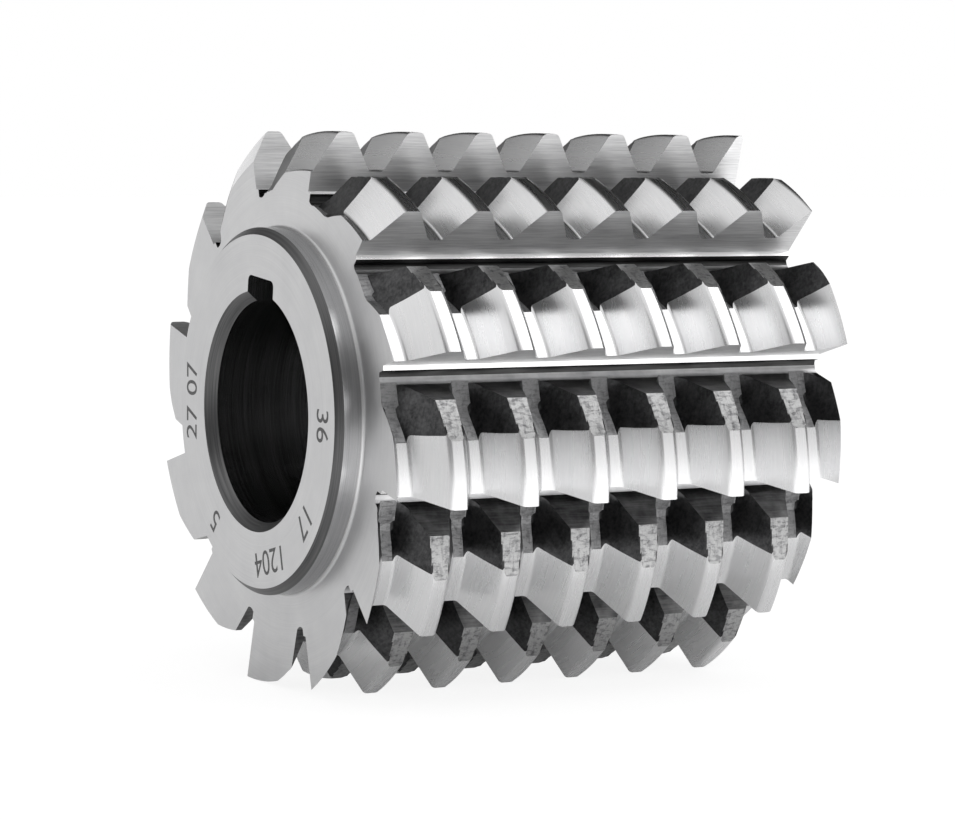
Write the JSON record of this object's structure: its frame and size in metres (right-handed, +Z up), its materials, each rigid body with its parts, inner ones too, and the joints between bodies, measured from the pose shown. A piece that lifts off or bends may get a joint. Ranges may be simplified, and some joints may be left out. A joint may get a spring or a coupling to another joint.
{
  "type": "gear hob",
  "caption": "Single-start right-hand gear hob with straight gashes, relieved ground teeth, a collar at each end and a keyed bore.",
  "frame": {"origin": "centre of the bore, midway between the two collar faces", "axes": "+X along the bore axis away from the near collar face, +Z up, the side shown in the picture towards -X and -Y"},
  "size_m": [0.0676, 0.0678, 0.0678],
  "materials": {
    "ground_steel": "ground, with milled tooth backs"
  },
  "bodies": {
    "root": {"hob": "ground_steel"}
  },
  "joints": []
}
